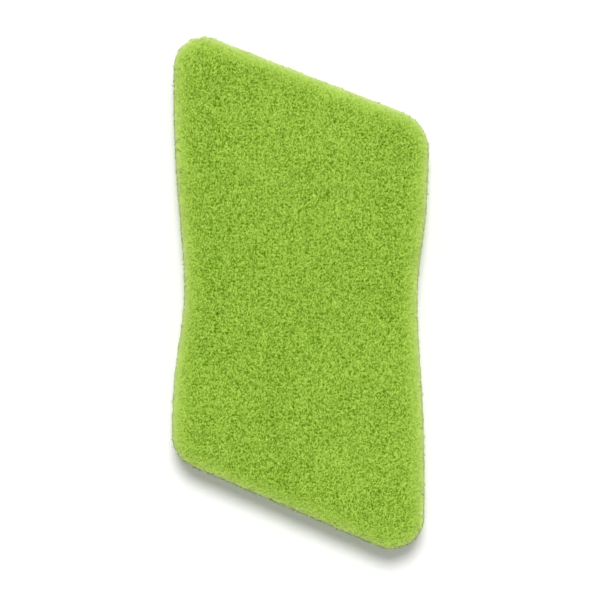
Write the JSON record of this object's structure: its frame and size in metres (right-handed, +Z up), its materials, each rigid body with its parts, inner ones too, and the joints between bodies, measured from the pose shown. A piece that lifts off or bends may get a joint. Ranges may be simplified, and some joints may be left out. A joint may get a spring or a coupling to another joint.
{
  "type": "scrub sponge",
  "caption": "Rhomboid scrub sponge of coarse open-cell foam, with waisted long sides, rounded corners, a soft rounded rim and open pores in both broad faces.",
  "frame": {"origin": "centre of the bounding box at the underside, on the surface that the sponge lies on", "axes": "+Z up through the thickness, +Y along the long sides towards the end whose sharp corner is on the left, +X to the right when seen from above"},
  "size_m": [0.07, 0.1396, 0.02],
  "materials": {
    "green_foam": "matt open-cell polyurethane foam, yellow-green, paler along the rounded rim"
  },
  "bodies": {
    "root": {"foam_pad": "green_foam"}
  },
  "joints": []
}
